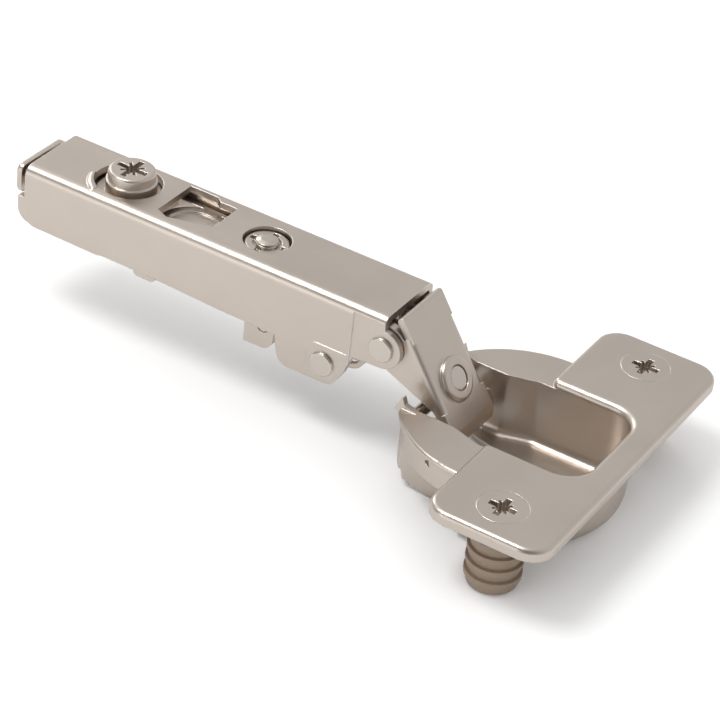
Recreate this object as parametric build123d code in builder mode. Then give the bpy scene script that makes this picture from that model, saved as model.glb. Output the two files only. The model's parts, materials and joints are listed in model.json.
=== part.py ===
from build123d import *
from math import cos, radians, sin
import os

# Concealed cup hinge, shown with its door open at a right angle.
# Millimetres. X runs from the arm to the cup, Y across the hinge, Z up.
# The origin is the middle of the line through the two dowels, level with the door's face.

# Fits
running_gap = 0.05
slide_gap = 0.15
shoe_gap = 0.1
lever_side_gap = 0.3
spring_side_gap = 0.27

# How far a cutting shape reaches past the metal
cut_margin = 5.0

# How far an edge may lie from the place that picks it
pick_reach = 0.1

# Arm, placed from its front top edge
arm_front = -30.2
arm_top = 12.85
arm_length = 66.45
arm_width = 14.3
arm_depth = 10.2
arm_sheet = 1.2
arm_bend = 1.7
arm_corner = 2.2
ear_radius = 3.3
front_lean = 0.25
neck_back = 4.9
neck_drop = 9.0
lobe_depth = 15.6
lobe_back = 18.6
lobe_taper = 0.9
lobe_front = 6.2
lobe_front_drop = 12.6
lobe_toe_back = 8.0

# Lower edge of the arm, as distances behind its front and extra depth
edge_front = 29.0
edge_middle = 42.0
edge_step_front = 51.3
edge_step_back = 52.2
swell_at_lobe = 0.6
swell_at_front = 0.5
swell_at_step = 0.25
swell_at_rear = 0.1

# Front end of the arm and the coined pad round the rear pin
joggle_back = 5.4
joggle_depth = 0.2
pad_back = 12.8
pad_top = 8.9
pad_height = 0.12
pad_inset = 0.3
pad_corner_back = 6.9
pad_corner_drop = 12.8
pad_side_drop = 11.4
pad_round_back = 1.6
pad_round_low = 1.8

# Access hole in the arm's top, as distances behind the front and to each side
access_back = 43.5
access_back_side = 3.7
access_near_back = 41.2
access_near_side = 4.7
access_front = 34.0
access_front_side = 2.3
access_far_side = 5.3
access_step_back = 38.3
access_step_front = 37.3
access_step_side = 4.4

# Raised crescent beside the depth screw
crescent_radius = 6.3
crescent_section = 0.9
crescent_sink = 0.55
crescent_start = 196
crescent_turn = 38

# Pivots, as distances behind and below the arm's front top edge
front_pivot_back = 0.23
front_pivot_drop = 5.49
rear_pivot_back = 9.85
rear_pivot_drop = 12.2

# Pivots in the cup, behind the dowel line and below the door's face
outer_pivot_back = 19.4
outer_pivot_drop = 4.75
inner_pivot_back = 23.4
inner_pivot_drop = 1.7

# Pins
arm_pin_radius = 1.5
rivet_head_radius = 2.05
rivet_head_height = 0.5
outer_pin_radius = 1.5
inner_pin_radius = 1.1
outer_pin_seat = 1.1
inner_pin_seat = 0.5
pin_ease = 0.25

# Outer link
link_sheet = 1.3
plate_slope = 56.0
plate_length = 19.7
plate_half_width = 5.55
flange_length = 16.3
flange_start = 4.4
fold_radius = 1.0
link_ear_radius = 3.75
plate_start = 3.2
plate_edge_radius = 0.5
roll_blend = 1.5
roll_flat = 3.5
flange_lip = 0.6
flange_knee_inset = 0.5
flange_knee_drop = 1.9
boss_station = 6.9
boss_radius = 3.6
boss_height = 0.8
boss_edge_radius = 0.6
link_rivet_head = 1.95
link_rivet_height = 0.35
link_rivet_shank = 1.0
link_rivet_sink = 0.45
link_rivet_edge = 0.25
link_rivet_gap = 0.1

# Inner link
inner_link_width = 3.2
inner_link_sheet = 0.9
inner_band = 2.0
inner_eye_wall = 0.85
rise_back = 3.3
rise_height = 1.1
knee_back = 1.0
knee_drop = 9.3
open_pivot_travel = 1.5
open_pivot_side = 0.65
open_pivot_wall = 0.8

# Closing springs, one coil each side of the inner link
spring_wire = 0.36
spring_coil_radius = 2.3
spring_pitch = 0.82
spring_turns = 2.156
spring_leg = 4.0

# Cup
cup_radius = 17.5
cup_offset = 9.5
cup_sheet = 1.2
cup_depth = 11.3
cup_floor = 1.0
rim_height = 0.7
rim_overhang = 0.7
rim_edge_radius = 0.5
root_radius = 0.2
skirt_depth = 4.4
lance_turn = 110.8
lance_drop = 1.25
lance_radius = 0.75
lance_depth = 0.55
bowl_bottom_radius = 2.8
wall_step = 0.6
well_wall = 1.4
well_half_width = 10.0
throat_half_width = 8.5
throat_round = 3.0
throat_start = 16.2
shoulder_start = 11.3
well_front = 5.6
well_corner = 4.6
well_roll = 1.2
well_floor_radius = 1.2
floor_round_back = 13.3
floor_slot_start = 19.8
floor_slot_tip = 12.6
floor_slot_half_width = 5.6
floor_slot_tip_half_width = 4.0
floor_slot_corner = 0.8
cheek_back = 24.5
cheek_corner_top = 6.6
cheek_step_back = 0.6
cheek_step_drop = 2.0
cheek_knee_back = 2.4
cheek_knee_drop = 3.4
cheek_foot_back = 7.2

# Curled hook at the end of each wall
hook_root = 2.6
hook_foot = 0.5
hook_foot_inset = 0.4
hook_shoulder = 0.5
hook_bevel = 0.8
hook_lift = 0.1
hook_round = 0.4
hook_base = 1.3
hook_tip = 2.6
hook_reach = 1.1
hook_sheet = 1.0

# Flange of the cup
flange_top = 2.0
flange_back = 9.65
flange_front = 10.2
flange_end = 6.8
flange_corner = 4.0
flange_edge_radius = 0.9

# Dowels and their screws
dowel_spacing = 45.0
dowel_radius = 4.3
dowel_groove = 0.5
dowel_length = 11.0
dowel_rings = 5
barb_flat = 0.35
barb_end = 0.98
cup_screw_head = 3.9
cup_screw_shank = 1.9
cup_screw_length = 4.6
cup_screw_taper = 1.2
cup_screw_tip = 0.6
cup_screw_boss = 5.4

# Driver recess, a cross with a smaller cross between its wings
recess_span = 4.4
recess_wing = 1.0
recess_depth = 1.5
small_span_share = 0.72
small_wing_share = 0.45

# Carriage, the inner channel that clips on the mounting plate
carriage_sheet = 1.2
carriage_rear = 66.3
carriage_tail = 68.7
carriage_front = 19.6
carriage_drop_rear = 1.75
carriage_drop_front = 3.0
carriage_wall_drop = 9.6
carriage_skirt_drop = 11.0
carriage_bend = 0.9
skirt_front = 57.3
skirt_corner = 2.5
lever_slot_drop = 6.6
tail_length = 1.4
tail_width = 6.6
tail_corner = 0.8
hook_back = 24.9
hook_drop = 15.2
hook_corner = 2.2
hook_pin_back = 21.6
hook_pin_drop = 11.3
hook_pin_radius = 1.1
tab_front = 41.8
tab_back = 46.0
tab_drop = 12.1
tab_corner = 0.9
disc_radius = 5.7
disc_rim = 1.3
disc_back = 38.6
disc_side = 1.1
disc_dish = 0.25
window_front = 33.0
window_back = 44.8
window_side = 4.4
window_corner = 0.8

# Depth screw
depth_screw_back = 51.1
depth_head_radius = 3.8
depth_ring_radius = 4.1
depth_ring_top = 0.7
depth_head_top = 2.5
depth_hole_half_width = 5.0
depth_hole_behind = 1.15
depth_neck = 2.5
depth_tail = 3.6
depth_tail_height = 0.8
depth_collar_radius = 5.6
depth_collar_drop = 1.5
depth_collar_lift = 0.2
depth_head_edge = 0.5
depth_recess_span = 5.4
depth_recess_depth = 1.8

# Side screw and the shoe it turns in
side_screw_back = 25.6
side_screw_radius = 3.5
side_screw_hole = 3.85
side_screw_sink = 0.5
side_screw_flange = 1.0
side_screw_journal = 1.4
side_screw_tail = 2.0
side_screw_edge = 0.2
side_foot_height = 0.8
side_recess_radius = 2.3
side_recess_span = 6.0
side_recess_depth = 0.8
side_stud_radius = 1.75
side_stud_top = 0.25
side_stud_crown = 0.75
side_groove_depth = 0.35
side_groove_pitch = 0.5
side_grooves = 2
shoe_half_width = 2.6
shoe_flange = 1.0
shoe_length = 5.2
shoe_corner = 0.8
shoe_lip = 0.8
shoe_lip_corner = 1.2
shoe_lip_height = 0.7
depth_forward = 1.8
depth_backward = 0.5

# Release lever
lever_pin_back = 60.0
lever_pin_drop = 5.4
lever_pin_radius = 1.0
lever_ear_radius = 2.1
lever_nose_back = 69.2
lever_nose_front = 68.15
lever_nose_top = 1.2
lever_nose_bottom = 6.2
lever_corner = 1.2
lever_edge = 0.4
lever_sheet = 1.0
tongue_top = 4.0
tongue_bottom = 5.2
tongue_web = 0.6
tongue_open = 3.2
finger_back = 62.6
finger_drop = 8.6
finger_tip_back = 64.8
finger_tip_drop = 9.6
finger_root_back = 64.2
finger_root_drop = 6.2
release_wire = 0.25
release_coil = 1.4
release_pitch = 0.6
release_length = 3.6

# Sizes that follow from those above
# Sizes that follow from those above
arm_half_width = arm_width / 2
arm_inner = arm_half_width - arm_sheet
carriage_half_width = arm_inner - slide_gap
carriage_inner = carriage_half_width - carriage_sheet
link_half_width = arm_inner - slide_gap
lever_half_width = carriage_inner - lever_side_gap
flange_span = dowel_spacing + 2 * flange_end
link_inner = link_half_width - link_sheet
spring_start = link_inner - spring_wire - spring_side_gap - spring_pitch * spring_turns
roll_radius = outer_pin_radius + running_gap + link_sheet
plate_inside = roll_radius - link_sheet


def on_arm(back, drop):
    # A place in the side view, from the arm's front top edge
    return (arm_front - back, arm_top - drop)


front_pivot = on_arm(front_pivot_back, front_pivot_drop)
rear_pivot = on_arm(rear_pivot_back, rear_pivot_drop)
outer_pivot = (-outer_pivot_back, -outer_pivot_drop)
inner_pivot = (-inner_pivot_back, -inner_pivot_drop)

# The outer link's own plane: x runs up the plate from the cup's pin, y out of its face
link_plane = Plane(
    origin=(outer_pivot[0], 0, outer_pivot[1]),
    x_dir=(-cos(radians(plate_slope)), 0, sin(radians(plate_slope))),
    z_dir=(0, 1, 0),
)


def on_link(x, z):
    # A place of the side view in the outer link's own plane
    dx = x - outer_pivot[0]
    dz = z - outer_pivot[1]
    along = -dx * cos(radians(plate_slope)) + dz * sin(radians(plate_slope))
    out = dx * sin(radians(plate_slope)) + dz * cos(radians(plate_slope))
    return (along, out)


def side_plane(y):
    # A plane across the hinge at y, seen from the near side
    return Plane(origin=(0, y, 0), x_dir=(1, 0, 0), z_dir=(0, -1, 0))


def cross_recess(span):
    # The outline of a driver's recess, drawn in the open sketch
    for turn in (0, 90):
        Rectangle(span, recess_wing, rotation=turn)
    for turn in (45, 135):
        Rectangle(small_span_share * span, small_wing_share * recess_wing, rotation=turn)


def pin_across(place, radius, half_length):
    # A plain pin lying across the hinge, with its ends eased
    with BuildPart() as pin:
        with BuildSketch(side_plane(0)):
            with Locations(place):
                Circle(radius)
        extrude(amount=half_length, both=True)
        chamfer(pin.edges().filter_by(GeomType.CIRCLE), pin_ease)
    return pin


def rivet_across(place, radius, head, half_grip, head_height):
    # A pin with a flat head at each end, lying across the hinge
    with BuildPart() as pin:
        with BuildSketch(side_plane(0)):
            with Locations(place):
                Circle(radius)
        extrude(amount=half_grip, both=True)
        for side in (1, -1):
            with BuildSketch(side_plane(side * half_grip)):
                with Locations(place):
                    Circle(head)
            extrude(amount=-side * head_height)
        chamfer(pin.faces().sort_by(Axis.Y)[0].edges(), head_height / 3)
        chamfer(pin.faces().sort_by(Axis.Y)[-1].edges(), head_height / 3)
    return pin


# Arm
with BuildPart() as hinge_arm:
    with BuildSketch(side_plane(0)):
        with BuildLine():
            Polyline(
                on_arm(arm_length, 0),
                on_arm(0, 0),
                on_arm(-front_lean, front_pivot_drop),
                on_arm(front_pivot_back, front_pivot_drop + ear_radius),
                on_arm(neck_back, neck_drop),
                on_arm(lobe_front, lobe_front_drop),
                on_arm(lobe_toe_back, lobe_depth),
                on_arm(lobe_back - lobe_taper, lobe_depth),
                on_arm(lobe_back, arm_depth + swell_at_lobe),
                on_arm(edge_front, arm_depth + swell_at_front),
                on_arm(edge_middle, arm_depth),
                on_arm(edge_step_front, arm_depth),
                on_arm(edge_step_back, arm_depth + swell_at_step),
                on_arm(arm_length, arm_depth + swell_at_rear),
                close=True,
            )
        make_face()
        fillet(vertices().group_by(Axis.Y)[0], arm_corner)
        fillet(vertices().group_by(Axis.X)[0].sort_by(Axis.Y)[0], arm_corner)
        with Locations(front_pivot):
            Circle(ear_radius)
    extrude(amount=arm_half_width, both=True)
    fillet(hinge_arm.edges().filter_by(Axis.X).group_by(Axis.Z)[-1], arm_bend)
    # Raised crescent beside the depth screw, with round ends
    with BuildLine(Plane.XY.offset(arm_top - crescent_sink)) as crescent_line:
        crescent_middle = (arm_front - depth_screw_back, 0)
        crescent = CenterArc(crescent_middle, crescent_radius, crescent_start, crescent_turn)
    with BuildSketch(Plane(origin=crescent @ 0, z_dir=crescent % 0)):
        Circle(crescent_section)
    sweep(path=crescent_line.wire())
    with Locations(crescent @ 0, crescent @ 1):
        Sphere(crescent_section)
    # Inside of the channel
    with BuildSketch(Plane.YZ.offset(arm_front - arm_length - cut_margin)):
        with Locations((0, arm_top - arm_sheet)):
            Rectangle(2 * arm_inner, 2 * lobe_depth, align=(Align.CENTER, Align.MAX))
        fillet(vertices().group_by(Axis.Y)[-1], arm_bend - arm_sheet)
    extrude(amount=arm_length + 2 * cut_margin, mode=Mode.SUBTRACT)
    # Front end set in a little, and the coined pad
    for side in (1, -1):
        with BuildSketch(side_plane(side * (arm_half_width - joggle_depth))):
            with Locations(on_arm(-cut_margin, -cut_margin)):
                Rectangle(joggle_back + cut_margin, 3 * arm_depth, align=(Align.MAX, Align.MAX))
        extrude(amount=-side * 2 * joggle_depth, mode=Mode.SUBTRACT)
        with BuildSketch(side_plane(side * arm_half_width)):
            with BuildLine():
                Polyline(
                    on_arm(joggle_back + pad_inset, pad_top),
                    on_arm(pad_back, pad_top),
                    on_arm(pad_back, lobe_depth - pad_inset),
                    on_arm(lobe_toe_back + pad_inset, lobe_depth - pad_inset),
                    on_arm(pad_corner_back, pad_corner_drop),
                    on_arm(joggle_back + pad_inset, pad_side_drop),
                    close=True,
                )
            make_face()
            fillet(vertices().group_by(Axis.X)[0].sort_by(Axis.Y)[-1], pad_round_back)
            fillet(vertices().group_by(Axis.Y)[0].sort_by(Axis.X)[-1], pad_round_low)
        extrude(amount=-side * pad_height)
    # Holes for the two link pins
    with BuildSketch(side_plane(0)):
        with Locations(front_pivot, rear_pivot):
            Circle(arm_pin_radius)
    extrude(amount=arm_width, both=True, mode=Mode.SUBTRACT)
    # Slot over the depth screw, access hole and side screw's hole in the top
    with BuildSketch(Plane.XY.offset(arm_top + crescent_section)):
        with Locations((arm_front - depth_screw_back - depth_hole_behind / 2, 0)):
            SlotCenterToCenter(depth_hole_behind, 2 * depth_hole_half_width)
        with Locations((arm_front - side_screw_back, 0)):
            Circle(side_screw_hole)
        with BuildLine():
            Polyline(
                (arm_front - access_back, -access_back_side),
                (arm_front - access_back, access_far_side),
                (arm_front - access_step_back, access_far_side),
                (arm_front - access_step_front, access_step_side),
                (arm_front - access_front, access_step_side),
                (arm_front - access_front, -access_front_side),
                (arm_front - access_near_back, -access_near_side),
                close=True,
            )
        make_face()
    extrude(amount=-crescent_section - 2 * arm_sheet, mode=Mode.SUBTRACT)
hinge_arm.part.label = "hinge_arm"

arm_pin_front = rivet_across(
    front_pivot,
    arm_pin_radius,
    rivet_head_radius,
    arm_half_width - joggle_depth,
    rivet_head_height,
)
arm_pin_front.part.label = "arm_pin_front"

arm_pin_rear = rivet_across(
    rear_pivot,
    arm_pin_radius,
    rivet_head_radius,
    arm_half_width + pad_height,
    rivet_head_height,
)
arm_pin_rear.part.label = "arm_pin_rear"

# Outer link, a plate with two flanges, rolled round the cup's pin
front_on_link = on_link(*front_pivot)
knee_along = front_on_link[0] - link_ear_radius + flange_knee_inset
boss_plane = Plane(
    origin=link_plane.from_local_coords((boss_station, roll_radius, 0)),
    x_dir=link_plane.x_dir,
    z_dir=link_plane.y_dir,
)
with BuildPart() as outer_link:
    with BuildSketch(link_plane):
        with BuildLine():
            Polyline(
                (roll_blend, roll_radius),
                (flange_length, roll_radius),
                (flange_length, front_on_link[1]),
                (knee_along, front_on_link[1] - flange_knee_drop),
                (flange_start, plate_inside - flange_lip),
                (roll_blend, plate_inside),
                close=True,
            )
        make_face()
        with Locations(front_on_link):
            Circle(link_ear_radius)
    extrude(amount=link_half_width, both=True)
    with BuildSketch(link_plane):
        with Locations((plate_start, plate_inside)):
            Rectangle(2 * plate_length, plate_length, align=(Align.MIN, Align.MAX))
    extrude(amount=link_inner, both=True, mode=Mode.SUBTRACT)
    long_edges = outer_link.edges().filter_by(Axis((0, 0, 0), link_plane.x_dir))
    folds = long_edges.filter_by(lambda edge: edge.length > 0.8 * flange_length)
    fillet(folds.sort_by(Axis.Y)[0], fold_radius)
    fillet(folds.sort_by(Axis.Y)[-1], fold_radius)
    # Top of the plate, which stands free of the flanges
    with BuildSketch(link_plane):
        with Locations((flange_length - 1, plate_inside)):
            Rectangle(plate_length - flange_length + 1, link_sheet, align=(Align.MIN, Align.MIN))
    extrude(amount=plate_half_width, both=True)
    # Roll round the cup's pin
    with BuildSketch(link_plane):
        Circle(roll_radius)
        with Locations((0, plate_inside)):
            Rectangle(roll_flat, link_sheet, align=(Align.MIN, Align.MIN))
    extrude(amount=link_half_width, both=True)
    with BuildSketch(link_plane):
        Circle(outer_pin_radius + running_gap)
        with Locations(front_on_link):
            Circle(arm_pin_radius + running_gap)
    extrude(amount=arm_width, both=True, mode=Mode.SUBTRACT)
    # Round boss with a sunk seat for the rivet
    with BuildSketch(boss_plane):
        Circle(boss_radius)
    extrude(amount=boss_height)
    out_of_face = Axis((0, 0, 0), boss_plane.z_dir)
    fillet(outer_link.edges().filter_by(GeomType.CIRCLE).sort_by(out_of_face)[-1], boss_edge_radius)
    with BuildSketch(boss_plane.offset(boss_height)):
        Circle(link_rivet_head + link_rivet_gap)
    extrude(amount=-link_rivet_sink, mode=Mode.SUBTRACT)
    with BuildSketch(boss_plane):
        Circle(link_rivet_shank)
    extrude(amount=cut_margin, both=True, mode=Mode.SUBTRACT)
    # Rounded top edge of the plate
    top_edges = outer_link.faces().sort_by(Axis((0, 0, 0), link_plane.x_dir))[-1].edges()
    fillet(top_edges.filter_by(Axis.Y), plate_edge_radius)
outer_link.part.label = "outer_link"

# Rivet of the boss, flush behind the plate
with BuildPart() as link_rivet:
    with BuildSketch(boss_plane.offset(boss_height - link_rivet_sink)):
        Circle(link_rivet_head)
    extrude(amount=link_rivet_height)
    fillet(link_rivet.edges().sort_by(out_of_face)[-1], link_rivet_edge)
    with BuildSketch(boss_plane.offset(-link_sheet)):
        Circle(link_rivet_shank)
    extrude(amount=link_sheet + boss_height - link_rivet_sink)
link_rivet.part.label = "link_rivet"


def inner_link_path(drop):
    # Middle line of the inner link, lowered by drop
    return (
        (inner_pivot[0], inner_pivot[1] - drop),
        (inner_pivot[0] - rise_back, rise_height - drop),
        (arm_front - knee_back, arm_top - knee_drop - drop),
        (rear_pivot[0], rear_pivot[1] - drop),
    )


# Inner link, a small channel with its web on top and an open eye on the rear arm pin
eye_radius = inner_pin_radius + running_gap + inner_eye_wall
slot_half_width = arm_pin_radius + open_pivot_side + running_gap
slot_outside = slot_half_width + open_pivot_wall
with BuildPart() as inner_link:
    with BuildSketch(side_plane(0)):
        with BuildLine():
            Polyline(*inner_link_path(0))
        trace(line_width=inner_band)
        with Locations(inner_pivot):
            Circle(eye_radius)
        with Locations(rear_pivot):
            SlotCenterToCenter(2 * open_pivot_travel, 2 * slot_outside)
    extrude(amount=inner_link_width / 2, both=True)
    with BuildSketch(side_plane(0)):
        with BuildLine():
            Polyline(*inner_link_path(inner_link_sheet))
        trace(line_width=inner_band)
        with Locations(inner_pivot):
            Circle(eye_radius)
        with Locations(rear_pivot):
            SlotCenterToCenter(2 * open_pivot_travel, 2 * slot_outside)
    extrude(amount=inner_link_width / 2 - inner_link_sheet, both=True, mode=Mode.SUBTRACT)
    with BuildSketch(side_plane(0)):
        with Locations(inner_pivot):
            Circle(inner_pin_radius + running_gap)
        with Locations(rear_pivot):
            SlotCenterToCenter(2 * open_pivot_travel, 2 * slot_half_width)
    extrude(amount=inner_link_width, both=True, mode=Mode.SUBTRACT)
inner_link.part.label = "inner_link"


# Closing springs, each a coil on the front arm pin
# One leg lies under the arm's top and the other behind the plate.
with BuildPart() as closing_spring_far:
    with BuildLine() as coil_path:
        coil = Helix(
            spring_pitch,
            spring_pitch * spring_turns,
            spring_coil_radius,
            center=(front_pivot[0], spring_start, front_pivot[1]),
            direction=(0, 1, 0),
        )
        Line(coil @ 0, coil @ 0 - spring_leg * (coil % 0))
        Line(coil @ 1, coil @ 1 + spring_leg * (coil % 1))
    with BuildSketch(Plane(origin=coil @ 0, z_dir=coil % 0)):
        Circle(spring_wire)
    sweep(path=coil_path.wire())
closing_spring_far.part.label = "closing_spring_far"

with BuildPart() as closing_spring_near:
    add(closing_spring_far.part)
    mirror(about=Plane.XZ, mode=Mode.REPLACE)
closing_spring_near.part.label = "closing_spring_near"

# Cup
wall_outside = well_half_width + well_wall
with BuildPart() as cup:
    # Bowl under the flange, with a rounded bottom edge
    with BuildSketch(Plane.XY.offset(-cup_depth)):
        with Locations((-cup_offset, 0)):
            Circle(cup_radius)
            Rectangle(2 * cup_radius, 2 * cup_radius, align=(Align.MAX, Align.CENTER), mode=Mode.SUBTRACT)
    extrude(amount=cup_depth)
    fillet(cup.edges().filter_by(GeomType.CIRCLE).sort_by(Axis.Z)[0], bowl_bottom_radius)
    # Rim on the door's face and skirt in the bore, on the arm's side
    with BuildSketch(Plane.YZ.offset(-cup_offset)):
        with BuildLine():
            Polyline(
                (0, rim_height),
                (cup_radius + rim_overhang, rim_height),
                (cup_radius + rim_overhang, 0),
                (cup_radius, 0),
                (cup_radius, -skirt_depth),
                (cup_radius - cup_sheet, -skirt_depth),
                (cup_radius - cup_sheet, rim_height - cup_sheet),
                (0, rim_height - cup_sheet),
                close=True,
            )
        make_face()
        fillet(vertices().group_by(Axis.Y)[-1].sort_by(Axis.X)[-1], rim_edge_radius)
    revolve(axis=Axis((-cup_offset, 0, 0), (0, 0, 1)), revolution_arc=180)
    # Well walls on the arm's side, which stay within the bore
    wall_levels = ((bowl_bottom_radius - cup_depth, cup_radius), (-cup_depth, cup_radius - wall_step))
    for bottom, radius in wall_levels:
        with BuildSketch(Plane.XY.offset(bottom)):
            with Locations((-cup_offset, 0)):
                Circle(radius)
                Rectangle(
                    cup_radius,
                    2 * wall_outside,
                    align=(Align.MAX, Align.CENTER),
                    mode=Mode.INTERSECT,
                )
        extrude(amount=-bottom)
    # Flange with its edges turned down to the door
    with BuildSketch(Plane.XY):
        with Locations(((flange_front - flange_back) / 2, 0)):
            Rectangle(flange_front + flange_back, flange_span)
        fillet(vertices(), flange_corner)
    extrude(amount=flange_top)
    fillet(cup.faces().sort_by(Axis.Z)[-1].edges(), flange_edge_radius)
    with BuildSketch(Plane.XY):
        with Locations(((flange_front - flange_back) / 2, 0)):
            Rectangle(flange_front + flange_back - 2 * cup_sheet, flange_span - 2 * cup_sheet)
        fillet(vertices(), flange_corner - cup_sheet)
        with Locations((-cup_offset, 0)):
            Circle(cup_radius + cup_sheet, mode=Mode.SUBTRACT)
        with Locations((0, dowel_spacing / 2), (0, -dowel_spacing / 2)):
            Circle(cup_screw_boss, mode=Mode.SUBTRACT)
    extrude(amount=flange_top - cup_sheet, mode=Mode.SUBTRACT)
    # Small round in the corner between the bore's wall and the door's face
    root_edges = cup.edges().filter_by(GeomType.CIRCLE).filter_by_position(Axis.Z, -pick_reach, pick_reach)
    root_edges = root_edges.filter_by(lambda edge: abs(edge.radius - cup_radius) < pick_reach)
    fillet(root_edges, root_radius)
    # Well, open toward the arm
    with BuildSketch(Plane.XY.offset(cup_floor - cup_depth)):
        with BuildLine():
            Polyline(
                (-cup_offset - cup_radius - cut_margin, -throat_half_width),
                (-throat_start, -throat_half_width),
                (-shoulder_start, -well_half_width),
                (well_front, -well_half_width),
                (well_front, well_half_width),
                (-shoulder_start, well_half_width),
                (-throat_start, throat_half_width),
                (-cup_offset - cup_radius - cut_margin, throat_half_width),
                close=True,
            )
        make_face()
        fillet(vertices().group_by(Axis.X)[-1], well_corner)
        fillet(vertices().group_by(Axis.X)[1], throat_round)
        shoulder_low = -shoulder_start - pick_reach
        shoulders = vertices().filter_by_position(Axis.X, shoulder_low, shoulder_low + 2 * pick_reach)
        fillet(shoulders, throat_round)
    extrude(amount=cup_depth + cut_margin, mode=Mode.SUBTRACT)
    # Rolled top edge of the well and rounded edge of its floor
    top_face = cup.faces().sort_by(Axis.Z)[-1]
    well_side = well_half_width + pick_reach
    well_end = well_front + pick_reach
    well_start = flange_edge_radius + pick_reach - flange_back
    well_edges = top_face.edges().filter_by_position(Axis.Y, -well_side, well_side)
    well_edges = well_edges.filter_by_position(Axis.X, well_start, well_end)
    fillet(well_edges, well_roll)
    floor_level = cup_floor - cup_depth
    floor_edges = cup.edges().filter_by_position(Axis.Z, floor_level - pick_reach, floor_level + pick_reach)
    fillet(floor_edges.filter_by_position(Axis.X, -floor_round_back, well_end), well_floor_radius)
    # Blunt ends of the walls at the throat, with the lower corner rounded away
    with BuildSketch(side_plane(0)):
        with Locations((-cheek_back, 0)):
            Rectangle(cup_radius, 4 * cup_depth, align=(Align.MAX, Align.CENTER))
        with BuildLine():
            Polyline(
                (-cheek_back - cut_margin, -cheek_corner_top),
                (-cheek_back, -cheek_corner_top),
                (-cheek_back + cheek_step_back, -cheek_corner_top - cheek_step_drop),
                (-cheek_back + cheek_knee_back, -cheek_corner_top - cheek_knee_drop),
                (-cheek_back + cheek_foot_back, -cup_depth),
                (-cheek_back + cheek_foot_back, -cup_depth - cut_margin),
                (-cheek_back - cut_margin, -cup_depth - cut_margin),
                close=True,
            )
        make_face()
    extrude(amount=2 * cup_radius, both=True, mode=Mode.SUBTRACT)
    # Curled hook at the end of each wall
    hook_end = -cheek_back - hook_reach
    for side in (1, -1):
        with BuildSketch(side_plane(side * throat_half_width)):
            with BuildLine():
                Polyline(
                    (-cheek_back + hook_root, -hook_foot),
                    (-cheek_back + hook_root, rim_height),
                    (-cheek_back + hook_shoulder, hook_base),
                    (-cheek_back, hook_tip),
                    (hook_end + hook_shoulder, hook_tip - hook_bevel),
                    (hook_end, hook_base - hook_shoulder),
                    (hook_end, hook_lift),
                    (-cheek_back, hook_lift),
                    (-cheek_back + hook_foot_inset, -hook_foot),
                    close=True,
                )
            make_face()
            fillet(vertices().group_by(Axis.X)[0], hook_round)
        extrude(amount=-side * hook_sheet)
    # Floor cut away under the links
    with BuildSketch(Plane.XY.offset(-cup_depth)):
        with BuildLine():
            Polyline(
                (-cup_offset - cup_radius, floor_slot_half_width),
                (-floor_slot_start, floor_slot_half_width),
                (-floor_slot_tip, floor_slot_tip_half_width),
                (-floor_slot_tip, -floor_slot_tip_half_width),
                (-floor_slot_start, -floor_slot_half_width),
                (-cup_offset - cup_radius, -floor_slot_half_width),
                close=True,
            )
        make_face()
        fillet(vertices().group_by(Axis.X)[-1], floor_slot_corner)
    extrude(amount=2 * cup_floor, mode=Mode.SUBTRACT)
    # Lanced notch in each side of the skirt, under the rim
    for turn in (lance_turn, -lance_turn):
        lance_plane = Plane(
            origin=(
                -cup_offset + cup_radius * cos(radians(turn)),
                cup_radius * sin(radians(turn)),
                -lance_drop,
            ),
            z_dir=(cos(radians(turn)), sin(radians(turn)), 0),
        )
        with BuildSketch(lance_plane):
            RegularPolygon(lance_radius, 3, rotation=turn)
        extrude(amount=lance_depth, both=True, mode=Mode.SUBTRACT)
    # Seats for the two pins
    with BuildSketch(side_plane(0)):
        with Locations(outer_pivot):
            Circle(outer_pin_radius)
    extrude(amount=throat_half_width + outer_pin_seat, both=True, mode=Mode.SUBTRACT)
    with BuildSketch(side_plane(0)):
        with Locations(inner_pivot):
            Circle(inner_pin_radius)
    extrude(amount=throat_half_width + inner_pin_seat, both=True, mode=Mode.SUBTRACT)
    # Countersunk holes for the screws
    with Locations((0, dowel_spacing / 2, flange_top), (0, -dowel_spacing / 2, flange_top)):
        CounterSinkHole(cup_screw_shank, cup_screw_head, depth=2 * flange_top)
cup.part.label = "cup"

cup_pin_outer = pin_across(outer_pivot, outer_pin_radius, throat_half_width + outer_pin_seat)
cup_pin_outer.part.label = "cup_pin_outer"
cup_pin_inner = pin_across(inner_pivot, inner_pin_radius, throat_half_width + inner_pin_seat)
cup_pin_inner.part.label = "cup_pin_inner"


def barbed_dowel(side):
    # A barbed plug under the flange, bored for its screw
    y = side * dowel_spacing / 2
    ring = dowel_length / dowel_rings
    outline = [(0, -dowel_length), (0, 0), (dowel_radius, 0)]
    for count in range(dowel_rings):
        outline.append((dowel_radius, -(count + barb_flat) * ring))
        outline.append((dowel_radius - dowel_groove, -(count + barb_end) * ring))
        outline.append((dowel_radius, -(count + 1) * ring))
    with BuildPart() as plug:
        with BuildSketch(side_plane(y)):
            with BuildLine():
                Polyline(*outline[:-1], close=True)
            make_face()
        revolve(axis=Axis((0, y, 0), (0, 0, 1)))
        with Locations((0, y, 0)):
            Hole(cup_screw_shank, depth=cup_screw_length)
    return plug


cup_dowel_near = barbed_dowel(-1)
cup_dowel_near.part.label = "cup_dowel_near"
cup_dowel_far = barbed_dowel(1)
cup_dowel_far.part.label = "cup_dowel_far"


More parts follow.
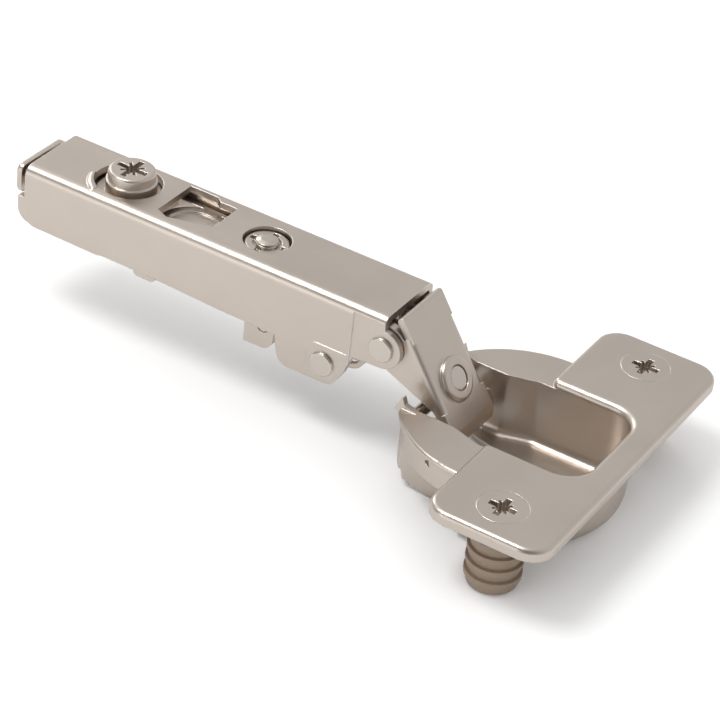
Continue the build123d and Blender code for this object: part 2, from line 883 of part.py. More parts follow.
def cup_screw(side):
    # A countersunk screw, flush with the flange
    y = side * dowel_spacing / 2
    head_height = cup_screw_head - cup_screw_shank
    with BuildPart() as screw:
        with BuildSketch(side_plane(y)):
            with BuildLine():
                Polyline(
                    (0, flange_top),
                    (cup_screw_head, flange_top),
                    (cup_screw_shank, flange_top - head_height),
                    (cup_screw_shank, cup_screw_taper - cup_screw_length),
                    (cup_screw_tip, -cup_screw_length),
                    (0, -cup_screw_length),
                    close=True,
                )
            make_face()
        revolve(axis=Axis((0, y, 0), (0, 0, 1)))
        with BuildSketch(Plane.XY.offset(flange_top)):
            with Locations((0, y)):
                cross_recess(recess_span)
        extrude(amount=-recess_depth, mode=Mode.SUBTRACT)
    return screw


cup_screw_near = cup_screw(-1)
cup_screw_near.part.label = "cup_screw_near"
cup_screw_far = cup_screw(1)
cup_screw_far.part.label = "cup_screw_far"

# Carriage, a channel that slides in the arm
carriage_fall = (carriage_drop_front - carriage_drop_rear) / (carriage_rear - carriage_front)


def carriage_drop(back):
    # Drop of the carriage's top at a distance behind the arm's front
    return carriage_drop_rear + (carriage_rear - back) * carriage_fall


past_tail = carriage_tail + cut_margin
past_front = carriage_front - cut_margin
top_plane = Plane(
    origin=(arm_front - side_screw_back, 0, arm_top - carriage_drop(side_screw_back)),
    x_dir=(1, 0, -carriage_fall),
    z_dir=(carriage_fall, 0, 1),
)
with BuildPart() as carriage:
    with BuildSketch(side_plane(0)):
        with BuildLine():
            Polyline(
                on_arm(carriage_rear, carriage_drop_rear),
                on_arm(carriage_front, carriage_drop_front),
                on_arm(carriage_front, hook_drop),
                on_arm(hook_back, hook_drop),
                on_arm(hook_back, carriage_wall_drop),
                on_arm(tab_front, carriage_wall_drop),
                on_arm(tab_front, tab_drop),
                on_arm(tab_back, tab_drop),
                on_arm(tab_back, carriage_wall_drop),
                on_arm(skirt_front, carriage_wall_drop),
                on_arm(skirt_front, carriage_skirt_drop),
                on_arm(carriage_tail, carriage_skirt_drop),
                on_arm(carriage_tail, lever_slot_drop),
                on_arm(carriage_rear, lever_slot_drop),
                close=True,
            )
        make_face()
        fillet(vertices().group_by(Axis.X)[0].sort_by(Axis.Y)[0], skirt_corner)
        fillet(vertices().group_by(Axis.X)[-1].sort_by(Axis.Y)[0], hook_corner)
        tab_low = arm_top - tab_drop - pick_reach
        fillet(vertices().filter_by_position(Axis.Y, tab_low, tab_low + 2 * pick_reach), tab_corner)
    extrude(amount=carriage_half_width, both=True)
    fillet(carriage.edges().filter_by(Axis((0, 0, 0), top_plane.x_dir)), carriage_bend)
    with BuildSketch(side_plane(0)):
        with BuildLine():
            Polyline(
                on_arm(past_tail, carriage_drop(past_tail) + carriage_sheet),
                on_arm(past_front, carriage_drop(past_front) + carriage_sheet),
                on_arm(past_front, 2 * hook_drop),
                on_arm(past_tail, 2 * hook_drop),
                close=True,
            )
        make_face()
    extrude(amount=carriage_inner, both=True, mode=Mode.SUBTRACT)
    # Tail of the top sheet, over the release lever
    with BuildSketch(top_plane):
        with Locations((side_screw_back - carriage_rear + 1, -carriage_half_width)):
            Rectangle(tail_length + 1, tail_width, align=(Align.MAX, Align.MIN))
        fillet(vertices().group_by(Axis.X)[0], tail_corner)
    extrude(amount=-carriage_sheet)
    # Window under the access hole, round a dished disc
    with BuildSketch(top_plane):
        with Locations((side_screw_back - window_back, -disc_side)):
            Rectangle(window_back - window_front, window_side + disc_side, align=(Align.MIN, Align.MIN))
        fillet(vertices().group_by(Axis.Y)[-1], window_corner)
        with Locations((side_screw_back - disc_back, -disc_side)):
            Circle(disc_radius, mode=Mode.SUBTRACT)
    extrude(amount=2 * carriage_sheet, both=True, mode=Mode.SUBTRACT)
    with BuildSketch(top_plane):
        with Locations((side_screw_back - disc_back, -disc_side)):
            Circle(disc_radius - disc_rim)
            Rectangle(3 * disc_radius, 2 * disc_radius, align=(Align.CENTER, Align.MAX), mode=Mode.SUBTRACT)
    extrude(amount=-disc_dish, mode=Mode.SUBTRACT)
    # Holes for the depth screw, the tilt shoe and the two pins
    with BuildSketch(top_plane):
        with Locations((side_screw_back - depth_screw_back, 0)):
            Circle(depth_neck + running_gap)
        with Locations(((depth_forward - depth_backward) / 2, 0)):
            Rectangle(
                shoe_length + depth_forward + depth_backward + 2 * shoe_gap,
                2 * shoe_half_width + 2 * shoe_gap,
            )
    extrude(amount=3 * carriage_sheet, both=True, mode=Mode.SUBTRACT)
    with BuildSketch(side_plane(0)):
        with Locations(on_arm(hook_pin_back, hook_pin_drop)):
            Circle(hook_pin_radius)
        with Locations(on_arm(lever_pin_back, lever_pin_drop)):
            Circle(lever_pin_radius)
    extrude(amount=arm_width, both=True, mode=Mode.SUBTRACT)
carriage.part.label = "carriage"

hook_pin = pin_across(on_arm(hook_pin_back, hook_pin_drop), hook_pin_radius, carriage_half_width)
hook_pin.part.label = "hook_pin"
release_lever_pin = pin_across(on_arm(lever_pin_back, lever_pin_drop), lever_pin_radius, carriage_half_width)
release_lever_pin.part.label = "release_lever_pin"

# Release lever, a nose at the tail with two hooked ears on its pin
with BuildPart() as release_lever:
    with BuildSketch(Plane.YZ.offset(arm_front - lever_nose_back)):
        with Locations((0, arm_top - (lever_nose_top + lever_nose_bottom) / 2)):
            Rectangle(2 * carriage_half_width, lever_nose_bottom - lever_nose_top)
        fillet(vertices(), lever_corner)
    extrude(amount=lever_nose_back - lever_nose_front)
    fillet(release_lever.faces().sort_by(Axis.X)[0].edges(), lever_edge)
    # Tongue under the tail
    with BuildSketch(side_plane(0)):
        with BuildLine():
            Polyline(
                on_arm(lever_nose_front, tongue_top),
                on_arm(lever_pin_back, lever_pin_drop - lever_ear_radius),
                on_arm(lever_pin_back, lever_pin_drop + lever_ear_radius),
                on_arm(finger_back, finger_drop),
                on_arm(finger_tip_back, finger_tip_drop),
                on_arm(finger_root_back, finger_root_drop),
                on_arm(lever_nose_front, tongue_bottom),
                close=True,
            )
        make_face()
        with Locations(on_arm(lever_pin_back, lever_pin_drop)):
            Circle(lever_ear_radius)
    extrude(amount=lever_half_width, both=True)
    with BuildSketch(side_plane(0)):
        with Locations(on_arm(lever_nose_front - tongue_web, tongue_top + lever_sheet)):
            Rectangle(2 * arm_depth, 2 * arm_depth, align=(Align.MIN, Align.MAX))
        with Locations(on_arm(lever_nose_front - tongue_open, 0)):
            Rectangle(2 * arm_depth, 2 * arm_depth, align=(Align.MIN, Align.MAX))
    extrude(amount=lever_half_width - lever_sheet, both=True, mode=Mode.SUBTRACT)
    with BuildSketch(side_plane(0)):
        with Locations(on_arm(lever_pin_back, lever_pin_drop)):
            Circle(lever_pin_radius + running_gap)
    extrude(amount=arm_width, both=True, mode=Mode.SUBTRACT)
release_lever.part.label = "release_lever"

# Release spring, a coil on the lever's pin
with BuildPart() as release_spring:
    with BuildLine() as spring_path:
        spring_place = on_arm(lever_pin_back, lever_pin_drop)
        release_wire_path = Helix(
            release_pitch,
            release_length,
            release_coil,
            center=(spring_place[0], -release_length / 2, spring_place[1]),
            direction=(0, 1, 0),
        )
    with BuildSketch(Plane(origin=release_wire_path @ 0, z_dir=release_wire_path % 0)):
        Circle(release_wire)
    sweep(path=spring_path.wire())
release_spring.part.label = "release_spring"


def screw_plane(back):
    # The side view's plane with its origin on a screw's axis, at the arm's top
    return Plane(origin=(arm_front - back, 0, arm_top), x_dir=(1, 0, 0), z_dir=(0, -1, 0))


# Depth screw, with a cam collar under the arm and a riveted tail under the carriage
depth_drop = carriage_drop(depth_screw_back)
tail_drop = depth_drop + carriage_sheet + slide_gap
with BuildPart() as depth_screw:
    with BuildSketch(screw_plane(depth_screw_back)):
        with BuildLine():
            Polyline(
                (0, depth_head_top),
                (depth_head_radius, depth_head_top),
                (depth_head_radius, depth_ring_top),
                (depth_ring_radius, depth_ring_top),
                (depth_ring_radius, -depth_collar_drop),
                (depth_collar_radius, -depth_collar_drop),
                (depth_collar_radius, depth_collar_lift - depth_drop),
                (depth_neck, depth_collar_lift - depth_drop),
                (depth_neck, -tail_drop),
                (depth_tail, -tail_drop),
                (depth_tail, -tail_drop - depth_tail_height),
                (0, -tail_drop - depth_tail_height),
                close=True,
            )
        make_face()
    revolve(axis=Axis((arm_front - depth_screw_back, 0, 0), (0, 0, 1)))
    head_edge = depth_screw.faces().sort_by(Axis.Z)[-1].edges()
    fillet(head_edge, depth_head_edge)
    with BuildSketch(Plane.XY.offset(arm_top + depth_head_top)):
        with Locations((arm_front - depth_screw_back, 0)):
            cross_recess(depth_recess_span)
    extrude(amount=-depth_recess_depth, mode=Mode.SUBTRACT)
depth_screw.part.label = "depth_screw"

# Side screw, whose journal is caught in the tilt shoe
shoe_drop = carriage_drop(side_screw_back)
foot_drop = shoe_drop + carriage_sheet + shoe_gap + shoe_flange + slide_gap
with BuildPart() as side_screw:
    with BuildSketch(screw_plane(side_screw_back)):
        with BuildLine():
            Polyline(
                (0, -side_screw_sink),
                (side_screw_radius, -side_screw_sink),
                (side_screw_radius, -side_screw_sink - side_screw_flange),
                (side_screw_journal, -side_screw_sink - side_screw_flange),
                (side_screw_journal, -foot_drop),
                (side_screw_tail, -foot_drop),
                (side_screw_tail, -foot_drop - side_foot_height),
                (0, -foot_drop - side_foot_height),
                close=True,
            )
        make_face()
    revolve(axis=Axis((arm_front - side_screw_back, 0, 0), (0, 0, 1)))
    head_edge = side_screw.faces().sort_by(Axis.Z)[-1].edges()
    chamfer(head_edge, side_screw_edge)
    with BuildSketch(Plane.XY.offset(arm_top - side_screw_sink)):
        with Locations((arm_front - side_screw_back, 0)):
            Circle(side_recess_radius)
            cross_recess(side_recess_span)
    extrude(amount=-side_recess_depth, mode=Mode.SUBTRACT)
    # Stud in the socket, with turned grooves
    stud_outline = [(0, side_stud_top), (side_stud_radius - side_stud_crown, side_stud_top)]
    for count in range(1, side_grooves + 1):
        level = side_stud_top - count * side_groove_pitch
        stud_outline.append((side_stud_radius, level + side_groove_pitch / 2))
        stud_outline.append((side_stud_radius, level + side_groove_pitch / 4))
        stud_outline.append((side_stud_radius - side_groove_depth, level))
    stud_outline.append((side_stud_radius, -side_screw_sink - side_recess_depth))
    stud_outline.append((0, -side_screw_sink - side_recess_depth))
    with BuildSketch(screw_plane(side_screw_back)):
        with BuildLine():
            Polyline(*stud_outline, close=True)
        make_face()
    revolve(axis=Axis((arm_front - side_screw_back, 0, 0), (0, 0, 1)))
side_screw.part.label = "side_screw"

# Tilt shoe, which slides in the carriage's slot and holds the side screw
with BuildPart() as tilt_shoe:
    shoe_bottom = -carriage_sheet - shoe_gap - shoe_flange
    with BuildSketch(top_plane.offset(shoe_bottom)):
        Rectangle(shoe_length, 2 * shoe_half_width)
        fillet(vertices(), shoe_corner)
    extrude(amount=shoe_gap - shoe_bottom)
    for level, height in ((shoe_bottom, shoe_flange), (shoe_gap, shoe_lip_height)):
        with BuildSketch(top_plane.offset(level)):
            Rectangle(shoe_length + 2 * shoe_lip, 2 * (shoe_half_width + shoe_lip))
            fillet(vertices(), shoe_lip_corner)
        extrude(amount=height)
    with BuildSketch(Plane.XY.offset(arm_top)):
        with Locations((arm_front - side_screw_back, 0)):
            Circle(side_screw_journal + shoe_gap)
    extrude(amount=-arm_depth, mode=Mode.SUBTRACT)
tilt_shoe.part.label = "tilt_shoe"

pieces = [
    carriage,
    hook_pin,
    release_lever,
    release_lever_pin,
    release_spring,
    depth_screw,
    side_screw,
    tilt_shoe,
    hinge_arm,
    arm_pin_front,
    arm_pin_rear,
    outer_link,
    link_rivet,
    inner_link,
    closing_spring_near,
    closing_spring_far,
    cup,
    cup_pin_outer,
    cup_pin_inner,
    cup_dowel_near,
    cup_dowel_far,
    cup_screw_near,
    cup_screw_far,
]
os.makedirs("parts", exist_ok=True)
for piece in pieces:
    export_step(piece.part, "parts/" + piece.part.label + ".step")
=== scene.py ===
import json
from math import radians

import bpy
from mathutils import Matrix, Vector


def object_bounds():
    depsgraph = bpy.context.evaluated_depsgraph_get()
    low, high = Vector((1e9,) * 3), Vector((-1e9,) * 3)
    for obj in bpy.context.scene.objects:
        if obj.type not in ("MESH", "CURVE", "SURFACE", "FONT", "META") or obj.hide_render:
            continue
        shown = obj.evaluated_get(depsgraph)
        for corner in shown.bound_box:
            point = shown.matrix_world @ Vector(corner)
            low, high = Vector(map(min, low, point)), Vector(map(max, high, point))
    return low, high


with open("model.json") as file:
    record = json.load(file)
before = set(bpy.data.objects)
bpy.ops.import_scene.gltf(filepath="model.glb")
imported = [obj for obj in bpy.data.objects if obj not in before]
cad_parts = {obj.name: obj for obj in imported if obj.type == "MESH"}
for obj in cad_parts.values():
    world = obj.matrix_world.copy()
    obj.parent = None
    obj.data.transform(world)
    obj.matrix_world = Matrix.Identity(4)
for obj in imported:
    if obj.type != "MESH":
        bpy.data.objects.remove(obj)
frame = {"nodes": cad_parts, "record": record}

bl_info = {
    "name": "Concealed Cup Hinge",
    "version": (1, 0, 0),
    "blender": (4, 5, 0),
    "location": "3D View > Sidebar > Cup Hinge",
    "description": "Dresses the packed cup hinge and sets its stage",
    "category": "Object",
}

cad_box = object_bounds()
nodes = frame["nodes"]

# Grain and clouding of the plating, in waves per metre
grain_along = 500
grain_across = 2600
grain_detail = 3
cloud_scale = 90
cloud_detail = 4
cloud_dark = 0.93
cloud_light = 1.06
grain_height = 0.00002

# Edges painted lighter, partly as rubbed plating and partly as a painted highlight: how
# far they reach in metres, and where the mask starts and is full
edge_reach = 0.00025
edge_samples = 6
edge_starts = 0.995
edge_full = 0.90

# Mould texture of the dowels
pore_scale = 1800
pore_detail = 4
pore_dark = 0.9
pore_light = 1.1
pore_height = 0.00005
pore_strength = 0.25
plastic_roughness = 0.5

# Room that the metal mirrors, by the height and the side that a ray goes to
ceiling_height = 0.75
near_side = -0.7
far_side = 0.1

floor_roughness = 0.9
sensor_width = 36


class HingeFinish(bpy.types.PropertyGroup):
    """Colours and surface values of the hinge."""

    sheet_colour: bpy.props.FloatVectorProperty(
        name="Sheet",
        description="Colour of the nickel plated sheet",
        subtype="COLOR", size=3, min=0, max=1, default=(0.69, 0.613, 0.543))
    pin_colour: bpy.props.FloatVectorProperty(
        name="Pins",
        description="Colour of the pins, rivets and screws",
        subtype="COLOR", size=3, min=0, max=1, default=(0.72, 0.65, 0.585))
    spring_colour: bpy.props.FloatVectorProperty(
        name="Springs",
        description="Colour of the spring wire",
        subtype="COLOR", size=3, min=0, max=1, default=(0.30, 0.28, 0.26))
    dowel_colour: bpy.props.FloatVectorProperty(
        name="Dowels",
        description="Colour of the moulded dowels",
        subtype="COLOR", size=3, min=0, max=1, default=(0.25, 0.186, 0.136))
    sheet_roughness: bpy.props.FloatProperty(
        name="Sheet roughness",
        description="How much the plating blurs what it mirrors",
        subtype="FACTOR", min=0, max=1, default=0.33)


class HingeStage(bpy.types.PropertyGroup):
    """Floor, camera and lamps."""

    floor_size: bpy.props.FloatProperty(
        name="Floor size",
        description="Side of the floor",
        unit="LENGTH", default=6.0)
    floor_colour: bpy.props.FloatVectorProperty(
        name="Floor",
        description="Colour of the floor",
        subtype="COLOR", size=3, min=0, max=1, default=(0.9, 0.9, 0.9))
    floor_mirrored: bpy.props.FloatVectorProperty(
        name="Mirrored floor",
        description="Colour of the floor as the metal mirrors it",
        subtype="COLOR", size=3, min=0, max=1, default=(0.635, 0.635, 0.635))
    camera_place: bpy.props.FloatVectorProperty(
        name="Camera",
        description="Place of the camera",
        subtype="TRANSLATION", size=3, default=(0.12804, -0.31237, 0.24044))
    camera_turn: bpy.props.FloatVectorProperty(
        name="Camera turn",
        description="Turn of the camera",
        subtype="EULER", size=3,
        default=(radians(55.4327), radians(-5.5893), radians(31.7474)))
    camera_lens: bpy.props.FloatProperty(
        name="Lens",
        description="Focal length of the camera, in millimetres",
        default=139.59)
    world_strength: bpy.props.FloatProperty(
        name="Room light",
        description="Strength of the light from all round",
        default=0.95)
    mirrored_low: bpy.props.FloatProperty(
        name="Mirrored horizon",
        description="Brightness that the metal mirrors near the horizon",
        default=0.61)
    mirrored_high: bpy.props.FloatProperty(
        name="Mirrored ceiling",
        description="Brightness that the metal mirrors overhead",
        default=0.56)
    mirrored_near: bpy.props.FloatProperty(
        name="Mirrored near side",
        description="Share of that brightness on the camera's side of the room",
        subtype="FACTOR", min=0, max=1, default=0.25)
    aim: bpy.props.FloatVectorProperty(
        name="Aim",
        description="Point that the lamps shine at",
        subtype="TRANSLATION", size=3, default=(-0.03, 0, 0))
    key_place: bpy.props.FloatVectorProperty(
        name="Key lamp place",
        description="Place of the lamp mirrored in the near bends",
        subtype="TRANSLATION", size=3, default=(-0.38, -0.2, 0.8))
    key_size: bpy.props.FloatProperty(
        name="Key lamp size",
        description="Side of the main lamp",
        unit="LENGTH", default=0.35)
    key_power: bpy.props.FloatProperty(
        name="Key lamp",
        description="Power of the main lamp",
        unit="POWER", default=3.2)
    fill_place: bpy.props.FloatVectorProperty(
        name="Fill lamp place",
        description="Place of the low lamp on the near side",
        subtype="TRANSLATION", size=3, default=(-0.40, -0.75, 0.16))
    fill_size: bpy.props.FloatProperty(
        name="Fill lamp size",
        description="Side of the near lamp",
        unit="LENGTH", default=0.5)
    fill_power: bpy.props.FloatProperty(
        name="Fill lamp",
        description="Power of the lamp on the near side",
        unit="POWER", default=1.0)
    rear_place: bpy.props.FloatVectorProperty(
        name="Rear lamp place",
        description="Place of the lamp behind the arm",
        subtype="TRANSLATION", size=3, default=(-0.9, 0.5, 0.5))
    rear_size: bpy.props.FloatProperty(
        name="Rear lamp size",
        description="Side of the rear lamp",
        unit="LENGTH", default=0.4)
    rear_power: bpy.props.FloatProperty(
        name="Rear lamp",
        description="Power of the lamp behind the arm",
        unit="POWER", default=1.5)


def grain_group():
    """Fine brushed grain of a plated sheet, as a roughness and a height."""
    group = bpy.data.node_groups.get("plated grain")
    if group:
        return group
    group = bpy.data.node_groups.new("plated grain", "ShaderNodeTree")
    face = group.interface
    for name in ("Scale", "Roughness", "Spread"):
        face.new_socket(name=name, in_out="INPUT", socket_type="NodeSocketFloat")
    for name in ("Roughness", "Height", "Mottle"):
        face.new_socket(name=name, in_out="OUTPUT", socket_type="NodeSocketFloat")
    put = group.nodes.new
    join = group.links.new
    entry = put("NodeGroupInput")
    out = put("NodeGroupOutput")
    place = put("ShaderNodeTexCoord")
    stretch = put("ShaderNodeMapping")
    stretch.inputs["Scale"].default_value = (grain_along, grain_across, grain_across)
    join(place.outputs["Object"], stretch.inputs["Vector"])
    fine = put("ShaderNodeTexNoise")
    fine.inputs["Detail"].default_value = grain_detail
    join(stretch.outputs["Vector"], fine.inputs["Vector"])
    join(entry.outputs["Scale"], fine.inputs["Scale"])
    cloud = put("ShaderNodeTexNoise")
    cloud.inputs["Scale"].default_value = cloud_scale
    cloud.inputs["Detail"].default_value = cloud_detail
    join(place.outputs["Object"], cloud.inputs["Vector"])
    both = put("ShaderNodeMath")
    both.operation = "ADD"
    join(fine.outputs["Fac"], both.inputs[0])
    join(cloud.outputs["Fac"], both.inputs[1])
    centred = put("ShaderNodeMath")
    centred.operation = "SUBTRACT"
    centred.inputs[1].default_value = 1.0
    join(both.outputs["Value"], centred.inputs[0])
    spread = put("ShaderNodeMath")
    spread.operation = "MULTIPLY_ADD"
    join(centred.outputs["Value"], spread.inputs[0])
    join(entry.outputs["Spread"], spread.inputs[1])
    join(entry.outputs["Roughness"], spread.inputs[2])
    join(spread.outputs["Value"], out.inputs["Roughness"])
    join(fine.outputs["Fac"], out.inputs["Height"])
    join(cloud.outputs["Fac"], out.inputs["Mottle"])
    return group


def edge_group():
    """Mask of the edges, which are painted brighter as rubbed plating and as a painted
    highlight, and their soft normal.
    """
    group = bpy.data.node_groups.get("worn and highlighted edges")
    if group:
        return group
    group = bpy.data.node_groups.new("worn and highlighted edges", "ShaderNodeTree")
    face = group.interface
    face.new_socket(name="Mask", in_out="OUTPUT", socket_type="NodeSocketFloat")
    face.new_socket(name="Normal", in_out="OUTPUT", socket_type="NodeSocketVector")
    put = group.nodes.new
    join = group.links.new
    out = put("NodeGroupOutput")
    round_edge = put("ShaderNodeBevel")
    round_edge.samples = edge_samples
    round_edge.inputs["Radius"].default_value = edge_reach
    shape = put("ShaderNodeNewGeometry")
    agree = put("ShaderNodeVectorMath")
    agree.operation = "DOT_PRODUCT"
    join(round_edge.outputs["Normal"], agree.inputs[0])
    join(shape.outputs["Normal"], agree.inputs[1])
    turn = put("ShaderNodeMapRange")
    turn.inputs["From Min"].default_value = edge_starts
    turn.inputs["From Max"].default_value = edge_full
    join(agree.outputs["Value"], turn.inputs["Value"])
    join(turn.outputs["Result"], out.inputs["Mask"])
    join(round_edge.outputs["Normal"], out.inputs["Normal"])
    return group


def shaded(colour, share):
    """The colour made darker or lighter by a share, opaque."""
    return (*[min(1.0, share * part) for part in colour], 1)


def blank_finish(name):
    """A new material with its tree and its shader."""
    finish = bpy.data.materials.new(name)
    finish.use_nodes = True
    tree = finish.node_tree
    return finish, tree, tree.nodes["Principled BSDF"]


def plated_metal(name, colour, worn_and_highlight_colour, roughness, spread, bump, grain_scale):
    """Nickel plated steel with grain, faint clouding, and edges painted lighter as rubbed
    wear and as a painted highlight.
    """
    finish, tree, shader = blank_finish(name)
    put = tree.nodes.new
    join = tree.links.new
    shader.inputs["Metallic"].default_value = 1.0
    grain = put("ShaderNodeGroup")
    grain.node_tree = grain_group()
    grain.inputs["Scale"].default_value = grain_scale
    grain.inputs["Roughness"].default_value = roughness
    grain.inputs["Spread"].default_value = spread
    edges = put("ShaderNodeGroup")
    edges.node_tree = edge_group()
    cloud = put("ShaderNodeMix")
    cloud.data_type = "RGBA"
    cloud.inputs["A"].default_value = shaded(colour, cloud_dark)
    cloud.inputs["B"].default_value = shaded(colour, cloud_light)
    join(grain.outputs["Mottle"], cloud.inputs["Factor"])
    # Painted highlight on the edges, partly rubbed plating: the edge mask mixes in a
    # lighter colour.
    edge_wear_and_highlight = put("ShaderNodeMix")
    edge_wear_and_highlight.data_type = "RGBA"
    edge_wear_and_highlight.inputs["B"].default_value = (*worn_and_highlight_colour, 1)
    join(edges.outputs["Mask"], edge_wear_and_highlight.inputs["Factor"])
    join(cloud.outputs["Result"], edge_wear_and_highlight.inputs["A"])
    join(edge_wear_and_highlight.outputs["Result"], shader.inputs["Base Color"])
    join(grain.outputs["Roughness"], shader.inputs["Roughness"])
    relief = put("ShaderNodeBump")
    relief.inputs["Strength"].default_value = bump
    relief.inputs["Distance"].default_value = grain_height
    join(grain.outputs["Height"], relief.inputs["Height"])
    join(edges.outputs["Normal"], relief.inputs["Normal"])
    join(relief.outputs["Normal"], shader.inputs["Normal"])
    return finish


def moulded_plastic(name, colour):
    """Matte moulded plastic with the fine pores of its mould."""
    finish, tree, shader = blank_finish(name)
    put = tree.nodes.new
    join = tree.links.new
    shader.inputs["Roughness"].default_value = plastic_roughness
    place = put("ShaderNodeTexCoord")
    pores = put("ShaderNodeTexNoise")
    pores.inputs["Scale"].default_value = pore_scale
    pores.inputs["Detail"].default_value = pore_detail
    join(place.outputs["Object"], pores.inputs["Vector"])
    tone = put("ShaderNodeMix")
    tone.data_type = "RGBA"
    tone.inputs["A"].default_value = shaded(colour, pore_dark)
    tone.inputs["B"].default_value = shaded(colour, pore_light)
    join(pores.outputs["Fac"], tone.inputs["Factor"])
    join(tone.outputs["Result"], shader.inputs["Base Color"])
    relief = put("ShaderNodeBump")
    relief.inputs["Strength"].default_value = pore_strength
    relief.inputs["Distance"].default_value = pore_height
    join(pores.outputs["Fac"], relief.inputs["Height"])
    join(relief.outputs["Normal"], shader.inputs["Normal"])
    return finish


def white_room(stage):
    """World that is white to the camera and a soft grey gradient in the metal."""
    world = bpy.data.worlds.new("white room")
    world.use_nodes = True
    tree = world.node_tree
    put = tree.nodes.new
    join = tree.links.new
    room = tree.nodes["Background"]
    room.inputs["Color"].default_value = (1, 1, 1, 1)
    room.inputs["Strength"].default_value = stage.world_strength
    way = put("ShaderNodeTexCoord")
    split = put("ShaderNodeSeparateXYZ")
    join(way.outputs["Generated"], split.inputs["Vector"])
    fall = put("ShaderNodeMapRange")
    fall.inputs["From Max"].default_value = ceiling_height
    fall.inputs["To Min"].default_value = stage.mirrored_low
    fall.inputs["To Max"].default_value = stage.mirrored_high
    join(split.outputs["Z"], fall.inputs["Value"])
    near = put("ShaderNodeMapRange")
    near.inputs["From Min"].default_value = near_side
    near.inputs["From Max"].default_value = far_side
    near.inputs["To Min"].default_value = stage.mirrored_near
    join(split.outputs["Y"], near.inputs["Value"])
    mirrored = put("ShaderNodeBackground")
    join(fall.outputs["Result"], mirrored.inputs["Color"])
    join(near.outputs["Result"], mirrored.inputs["Strength"])
    seen = put("ShaderNodeBackground")
    seen.inputs["Color"].default_value = (1, 1, 1, 1)
    rays = put("ShaderNodeLightPath")
    sharp = put("ShaderNodeMath")
    sharp.operation = "MAXIMUM"
    join(rays.outputs["Is Glossy Ray"], sharp.inputs[0])
    join(rays.outputs["Is Transmission Ray"], sharp.inputs[1])
    inner = put("ShaderNodeMixShader")
    join(sharp.outputs["Value"], inner.inputs["Fac"])
    join(room.outputs["Background"], inner.inputs[1])
    join(mirrored.outputs["Background"], inner.inputs[2])
    outer = put("ShaderNodeMixShader")
    join(rays.outputs["Is Camera Ray"], outer.inputs["Fac"])
    join(inner.outputs["Shader"], outer.inputs[1])
    join(seen.outputs["Background"], outer.inputs[2])
    join(outer.outputs["Shader"], tree.nodes["World Output"].inputs["Surface"])
    return world


def pale_floor(stage):
    """Pale matte floor, which the metal mirrors a little darker."""
    finish, tree, shader = blank_finish("pale floor")
    put = tree.nodes.new
    join = tree.links.new
    shader.inputs["Roughness"].default_value = floor_roughness
    rays = put("ShaderNodeLightPath")
    tone = put("ShaderNodeMix")
    tone.data_type = "RGBA"
    tone.inputs["A"].default_value = (*stage.floor_colour, 1)
    tone.inputs["B"].default_value = (*stage.floor_mirrored, 1)
    join(rays.outputs["Is Glossy Ray"], tone.inputs["Factor"])
    join(tone.outputs["Result"], shader.inputs["Base Color"])
    return finish


def dress(node, finish):
    """Gives a CAD node its finish."""
    for slot in node.material_slots:
        slot.material = finish
    if not node.material_slots:
        node.data.materials.append(finish)


class HINGE_OT_finishes(bpy.types.Operator):
    """Gives every piece its finish"""

    bl_idname = "hinge.finishes"
    bl_label = "Finishes"

    def execute(self, context):
        look = context.scene.hinge_finish
        # Each lighter edge colour below is part rubbed plating, part painted highlight.
        sheet = plated_metal(
            "satin nickel sheet", look.sheet_colour, worn_and_highlight_colour=(0.86, 0.82, 0.77),
            roughness=look.sheet_roughness, spread=0.10, bump=0.25, grain_scale=1.0)
        bright = plated_metal(
            "bright nickel", look.pin_colour, worn_and_highlight_colour=(0.9, 0.87, 0.82),
            roughness=0.24, spread=0.08, bump=0.15, grain_scale=2.0)
        wire = plated_metal(
            "spring wire", look.spring_colour, worn_and_highlight_colour=(0.5, 0.48, 0.45),
            roughness=0.38, spread=0.10, bump=0.30, grain_scale=2.0)
        plastic = moulded_plastic("moulded dowel", look.dowel_colour)
        by_slot = {
            "nickel_steel": sheet,
            "pin_steel": bright,
            "spring_steel": wire,
            "dowel_plastic": plastic,
        }
        for piece in frame["record"]["subparts"]:
            dress(nodes[piece["node"]], by_slot[piece["material_slot"]])
        return {"FINISHED"}


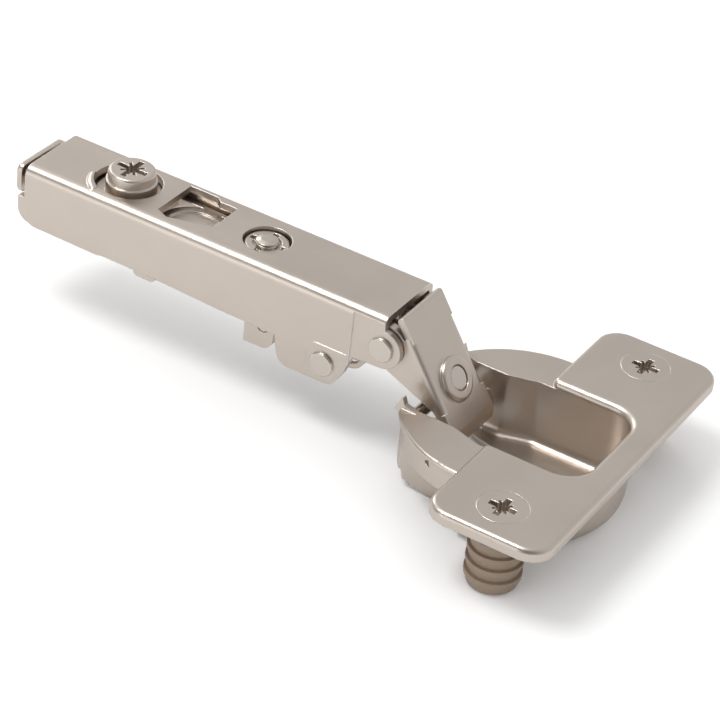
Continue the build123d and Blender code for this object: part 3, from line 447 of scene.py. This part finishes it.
class HINGE_OT_stage(bpy.types.Operator):
    """Sets the floor, the lamps and the camera"""

    bl_idname = "hinge.stage"
    bl_label = "Stage"

    def execute(self, context):
        stage = context.scene.hinge_stage
        bpy.ops.object.select_all(action="DESELECT")
        bottom = cad_box[0][2]
        bpy.ops.mesh.primitive_plane_add(size=stage.floor_size, location=(0, 0, bottom))
        floor = context.active_object
        floor.name = "floor"
        floor.data.materials.append(pale_floor(stage))
        context.scene.world = white_room(stage)
        lamps = (
            ("key lamp", stage.key_place, stage.key_size, stage.key_power),
            ("fill lamp", stage.fill_place, stage.fill_size, stage.fill_power),
            ("rear lamp", stage.rear_place, stage.rear_size, stage.rear_power),
        )
        for name, place, size, power in lamps:
            bpy.ops.object.light_add(type="AREA", location=place)
            lamp = context.active_object
            lamp.name = name
            lamp.data.shape = "SQUARE"
            lamp.data.size = size
            lamp.data.energy = power
            away = Vector(stage.aim) - Vector(place)
            lamp.rotation_euler = away.to_track_quat("-Z", "Y").to_euler()
        bpy.ops.object.camera_add(location=stage.camera_place, rotation=stage.camera_turn)
        camera = context.active_object
        camera.name = "camera"
        camera.data.lens = stage.camera_lens
        camera.data.sensor_width = sensor_width
        camera.data.clip_start = 0.01
        context.scene.camera = camera
        context.scene.view_settings.view_transform = "Standard"
        return {"FINISHED"}


class HINGE_PT_panel(bpy.types.Panel):
    """Lists the sizes, the colours and the steps"""

    bl_label = "Cup Hinge"
    bl_idname = "HINGE_PT_panel"
    bl_space_type = "VIEW_3D"
    bl_region_type = "UI"
    bl_category = "Cup Hinge"

    def draw(self, context):
        layout = self.layout
        for group in (context.scene.hinge_finish, context.scene.hinge_stage):
            box = layout.box()
            for name in group.__annotations__:
                box.prop(group, name)
        for step in steps:
            layout.operator(step.bl_idname)


steps = (HINGE_OT_finishes, HINGE_OT_stage)
classes = (HingeFinish, HingeStage, *steps, HINGE_PT_panel)


def register():
    for kind in classes:
        bpy.utils.register_class(kind)
    bpy.types.Scene.hinge_finish = bpy.props.PointerProperty(type=HingeFinish)
    bpy.types.Scene.hinge_stage = bpy.props.PointerProperty(type=HingeStage)


def unregister():
    del bpy.types.Scene.hinge_stage
    del bpy.types.Scene.hinge_finish
    for kind in reversed(classes):
        bpy.utils.unregister_class(kind)


def main():
    register()
    bpy.ops.hinge.finishes()
    bpy.ops.hinge.stage()


if __name__ == "__main__":
    main()
